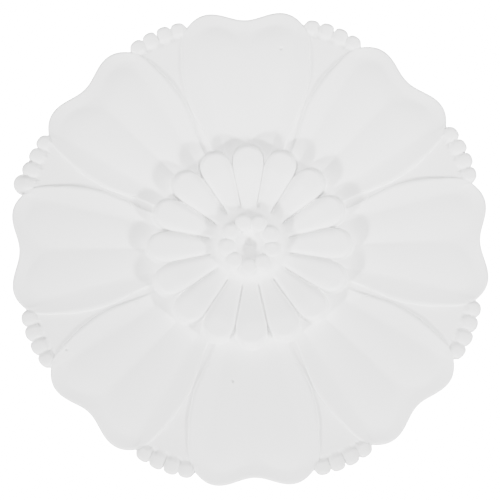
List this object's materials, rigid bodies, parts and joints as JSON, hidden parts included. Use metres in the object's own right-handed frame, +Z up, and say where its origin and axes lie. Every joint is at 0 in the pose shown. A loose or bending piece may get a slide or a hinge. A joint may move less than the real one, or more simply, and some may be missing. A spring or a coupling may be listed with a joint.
{
  "type": "ceiling rose",
  "caption": "Round plaster ceiling rose with large lobed petals, reeds between them, a raised flower and a bead ring at the centre, on a flat back that is glued to a ceiling.",
  "frame": {"origin": "centre of the flat back, where the rose is fixed to the ceiling", "axes": "+Y out of the flat back, which is up on a ceiling; the moulded face looks along -Y; +Z is up the face as the picture shows it and +X is to its right"},
  "size_m": [0.296, 0.0205, 0.296],
  "materials": {
    "plaster": "matte white cast plaster, fine tooth, unglazed"
  },
  "bodies": {
    "root": {"ceiling_rose": "plaster"}
  },
  "joints": []
}
